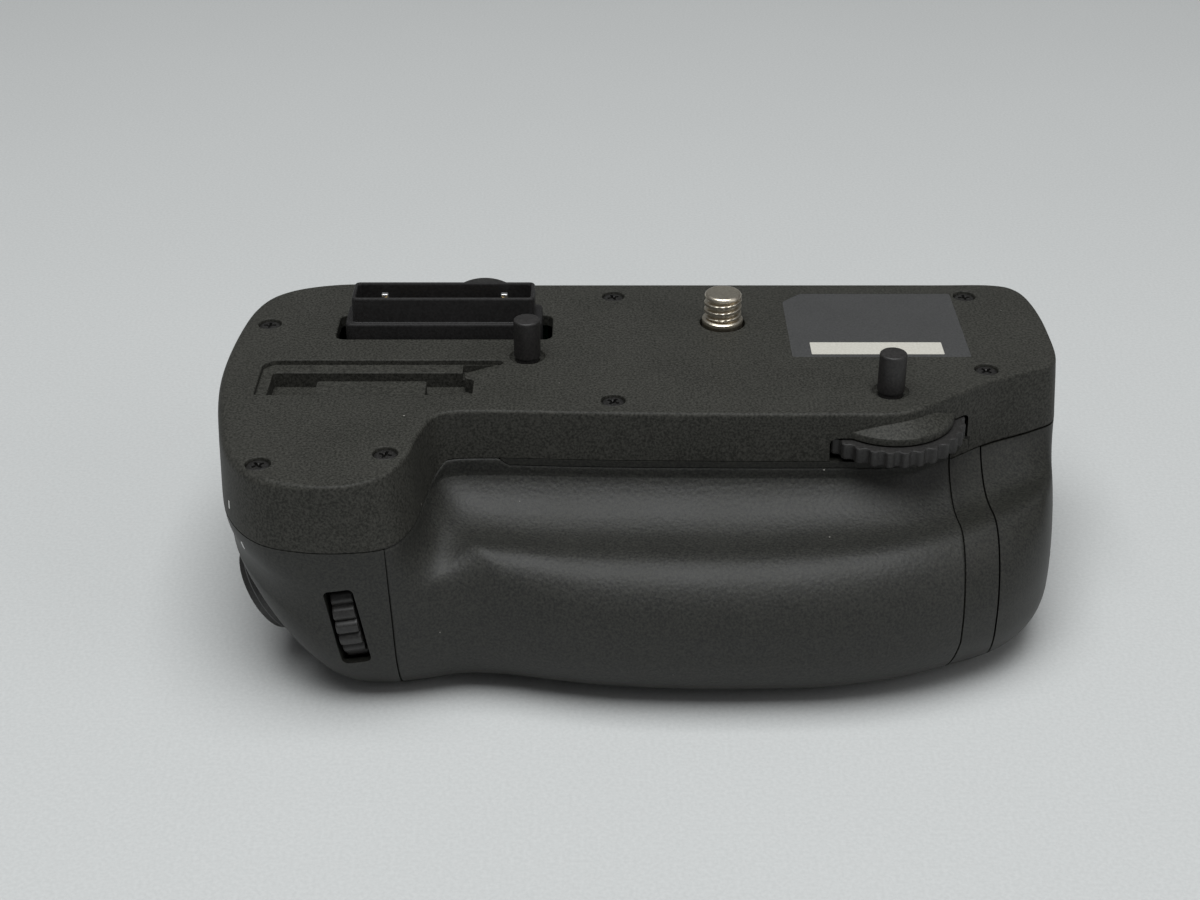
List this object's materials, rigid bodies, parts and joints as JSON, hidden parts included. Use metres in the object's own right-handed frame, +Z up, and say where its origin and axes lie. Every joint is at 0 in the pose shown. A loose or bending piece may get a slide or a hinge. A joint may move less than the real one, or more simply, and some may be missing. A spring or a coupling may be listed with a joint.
{
  "type": "camera battery grip",
  "caption": "Vertical battery grip for a camera: contoured hand grip, wheel-driven mounting screw, sliding battery drawer, shutter button, dials and a tilting selector pad.",
  "frame": {"origin": "mouth of the tripod socket in the base, below the mounting screw, on the plane the grip stands on", "axes": "+X along the length to the battery drawer's end, +Y to the rear with the selector, +Z up to the camera"},
  "size_m": [0.1383, 0.0775, 0.0483],
  "materials": {
    "cover": "fine-textured matt black moulding",
    "body": "fine-textured matt black moulding",
    "rubber": "grained black rubber skin",
    "black_screw": "blackened steel, cross recess",
    "label": "grey satin plate, bare",
    "tower": "smooth black moulding",
    "contact": "gold-plated",
    "clip": "bright spring metal",
    "pin": "blackened steel",
    "sheet": "plain sheet",
    "steel": "plain steel",
    "bronze": "oiled bearing bronze",
    "nickel": "nickel-plated",
    "gear": "natural acetal",
    "wheel": "notched black rubber rim",
    "board": "green circuit board",
    "tray": "black moulding",
    "pack": "dark grey shell, bare",
    "control": "black moulding",
    "gloss": "polished black moulding",
    "switch": "black switch body"
  },
  "bodies": {
    "case": {"top_cover": "cover", "main_body": "body", "grip_rubber": "rubber", "thumb_rubber": "rubber", "cover_screws": "black_screw", "rating_label": "label", "connector_tower": "tower", "connector_contacts": "contact", "connector_clips": "clip", "locating_pin_left": "pin", "locating_pin_right": "pin", "chassis_plate": "sheet", "chassis_screws": "steel", "screw_bush": "bronze", "idler_pin": "steel", "tripod_bush": "steel", "main_board": "board", "board_screws": "steel", "rear_board": "board", "chamber_contacts": "contact", "shutter_collar": "control", "shutter_switch": "switch", "front_dial_axle": "steel", "front_dial_bracket": "tray", "front_dial_encoder": "board", "rear_dial_axle": "steel", "rear_dial_bracket": "tray", "rear_dial_encoder": "board", "lock_switch": "switch", "selector_boss": "control", "selector_collar": "control", "selector_base": "switch"},
    "wheel": {"attachment_wheel": "wheel"},
    "idler": {"idler_gear": "gear"},
    "screw": {"mounting_screw": "nickel", "screw_gear": "gear"},
    "shutter": {"shutter_button": "gloss"},
    "shutter_lock": {"shutter_ring": "control"},
    "front_wheel": {"front_dial": "control"},
    "rear_wheel": {"rear_dial": "control"},
    "lock": {"lock_button": "gloss"},
    "gimbal": {"selector_gimbal": "steel"},
    "pad": {"selector_pad": "control", "selector_stem": "steel"},
    "holder": {"holder_cap": "body", "holder_tray": "tray", "battery_pack": "pack", "battery_terminals": "contact"},
    "latch": {"latch_knob": "control", "latch_tongue": "steel"}
  },
  "joints": [
    {"name": "wheel_turn", "type": "hinge", "parent": "case", "child": "wheel", "pos_m": [0.0256, -0.0252, 0.0355], "axis": [0, 0, 1], "continuous": true},
    {"name": "idler_turn", "type": "hinge", "parent": "case", "child": "idler", "pos_m": [0.01536, -0.01512, 0.0325], "axis": [0, 0, 1], "continuous": true},
    {"name": "screw_turn", "type": "hinge", "parent": "case", "child": "screw", "pos_m": [0, 0, 0.0415], "axis": [0, 0, 1], "continuous": true},
    {"name": "shutter_press", "type": "slide", "parent": "case", "child": "shutter", "axis": [0.866, 0, 0.5], "range_m": [0, 0.0014], "stiffness_N_per_m": 400},
    {"name": "lock_turn", "type": "hinge", "parent": "case", "child": "shutter_lock", "pos_m": [-0.0735, -0.037, 0.0129], "axis": [-0.866, 0, -0.5], "range_deg": [0, 40]},
    {"name": "front_dial_turn", "type": "hinge", "parent": "case", "child": "front_wheel", "pos_m": [-0.0596, -0.0463, 0.0163], "axis": [0.9877, 0, 0.1564], "continuous": true},
    {"name": "rear_dial_turn", "type": "hinge", "parent": "case", "child": "rear_wheel", "pos_m": [-0.066, 0.0076, 0.017], "axis": [1, 0, 0], "continuous": true},
    {"name": "lock_button_press", "type": "slide", "parent": "case", "child": "lock", "axis": [0, -1, 0], "range_m": [0, 0.0008], "stiffness_N_per_m": 400},
    {"name": "selector_tilt_x", "type": "hinge", "parent": "case", "child": "gimbal", "pos_m": [-0.0415, 0.015, 0.0327], "axis": [1, 0, 0], "range_deg": [-5, 5], "stiffness_Nm_per_rad": 0.02},
    {"name": "selector_tilt_z", "type": "hinge", "parent": "gimbal", "child": "pad", "pos_m": [-0.0415, 0.015, 0.0327], "axis": [0, 0, 1], "range_deg": [-5, 5], "stiffness_Nm_per_rad": 0.02},
    {"name": "holder_slide", "type": "slide", "parent": "case", "child": "holder", "axis": [1, 0, 0], "range_m": [0, 0.095]},
    {"name": "latch_turn", "type": "hinge", "parent": "holder", "child": "latch", "pos_m": [0.0524, -0.012, 0.0155], "axis": [1, 0, 0], "range_deg": [-90, 0]}
  ],
  "couplings": [
    {"joint": "idler_turn", "follows": "wheel_turn", "ratio": -0.5},
    {"joint": "screw_turn", "follows": "wheel_turn", "ratio": 0.4}
  ]
}
